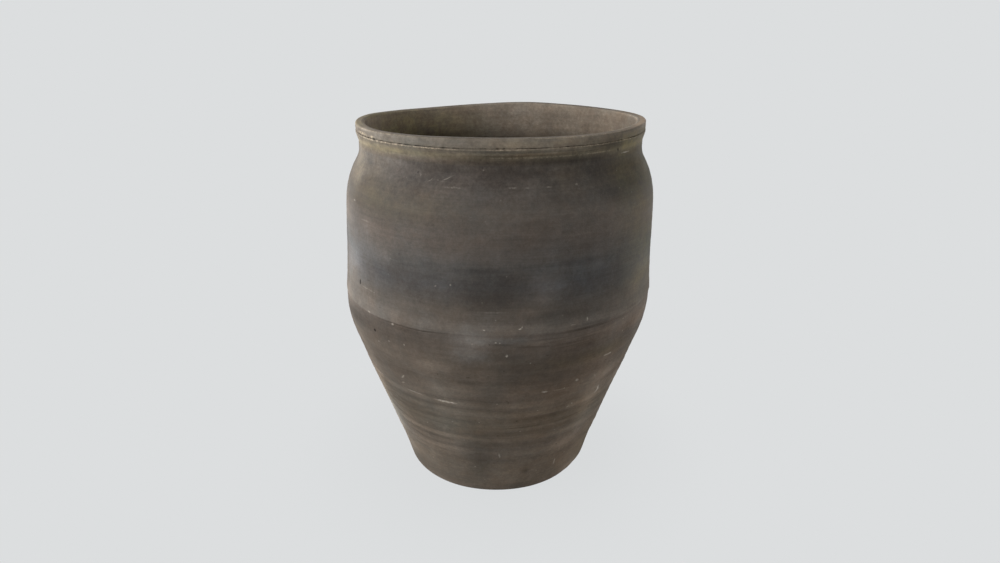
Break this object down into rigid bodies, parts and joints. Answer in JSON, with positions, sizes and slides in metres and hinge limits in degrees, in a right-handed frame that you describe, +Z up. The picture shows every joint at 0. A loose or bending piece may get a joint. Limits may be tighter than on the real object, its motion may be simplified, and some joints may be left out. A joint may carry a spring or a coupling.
{
  "type": "greek pithos",
  "caption": "Large open storage jar of fired clay: flat base, flaring lower wall, lapped belly joint, rounded shoulder, short neck and a flat-topped rim band.",
  "frame": {"origin": "middle of the underside of the base, on the ground", "axes": "+Z up along the jar's axis; -Y towards the camera of the picture, +X to its right"},
  "size_m": [0.6036, 0.6036, 0.7],
  "materials": {
    "fired_clay": "unglazed, matt, smoke-greyed"
  },
  "bodies": {
    "root": {"base_disc": "fired_clay", "floor_coil": "fired_clay", "heel_course": "fired_clay", "lower_course": "fired_clay", "flare_course": "fired_clay", "belly_lute": "fired_clay", "belly_course": "fired_clay", "shoulder_course": "fired_clay", "neck_collar": "fired_clay", "rim_band": "fired_clay"}
  },
  "joints": []
}
